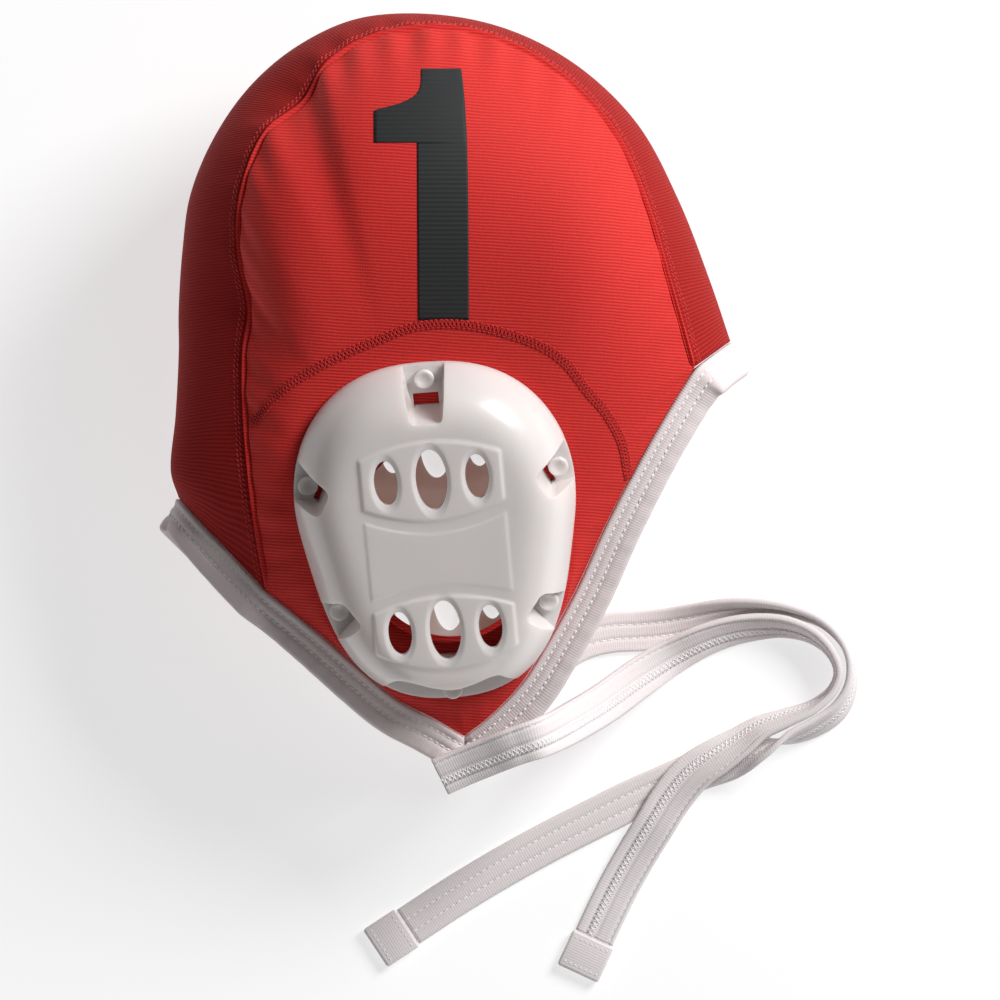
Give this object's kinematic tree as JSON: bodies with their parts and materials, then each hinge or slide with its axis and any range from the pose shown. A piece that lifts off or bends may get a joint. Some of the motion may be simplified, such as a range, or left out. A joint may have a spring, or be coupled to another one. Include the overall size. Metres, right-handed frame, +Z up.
{
  "type": "water polo cap",
  "caption": "Water polo cap of ribbed cloth with moulded ear guards, bound rim and chin ties, lying on its side.",
  "frame": {"origin": "on the surface that the cap lies on, under the middle of the cap without its ties", "axes": "+X towards the forehead, +Y towards the crown, +Z up, towards the wearer's right side; the cap lies on its left ear guard"},
  "size_m": [0.2655, 0.3738, 0.1428],
  "materials": {
    "ribbed_cloth": "matte ribbed knit, scarlet",
    "binding_tape": "matte white woven tape",
    "tie_tape": "matte white woven tape",
    "guard_plastic": "glossy moulded, slightly translucent white"
  },
  "bodies": {
    "root": {"right_side_panel": "ribbed_cloth", "left_side_panel": "ribbed_cloth", "crown_strip": "ribbed_cloth", "front_binding": "binding_tape", "rear_binding": "binding_tape", "right_ear_guard": "guard_plastic", "left_ear_guard": "guard_plastic", "right_guard_peg_1": "guard_plastic", "right_guard_peg_2": "guard_plastic", "right_guard_peg_3": "guard_plastic", "right_guard_peg_4": "guard_plastic", "right_guard_peg_5": "guard_plastic", "right_guard_peg_6": "guard_plastic", "left_guard_peg_1": "guard_plastic", "left_guard_peg_2": "guard_plastic", "left_guard_peg_3": "guard_plastic", "left_guard_peg_4": "guard_plastic", "left_guard_peg_5": "guard_plastic", "left_guard_peg_6": "guard_plastic", "right_tie": "tie_tape", "right_tie_hem": "tie_tape", "left_tie": "tie_tape", "left_tie_hem": "tie_tape"}
  },
  "joints": []
}
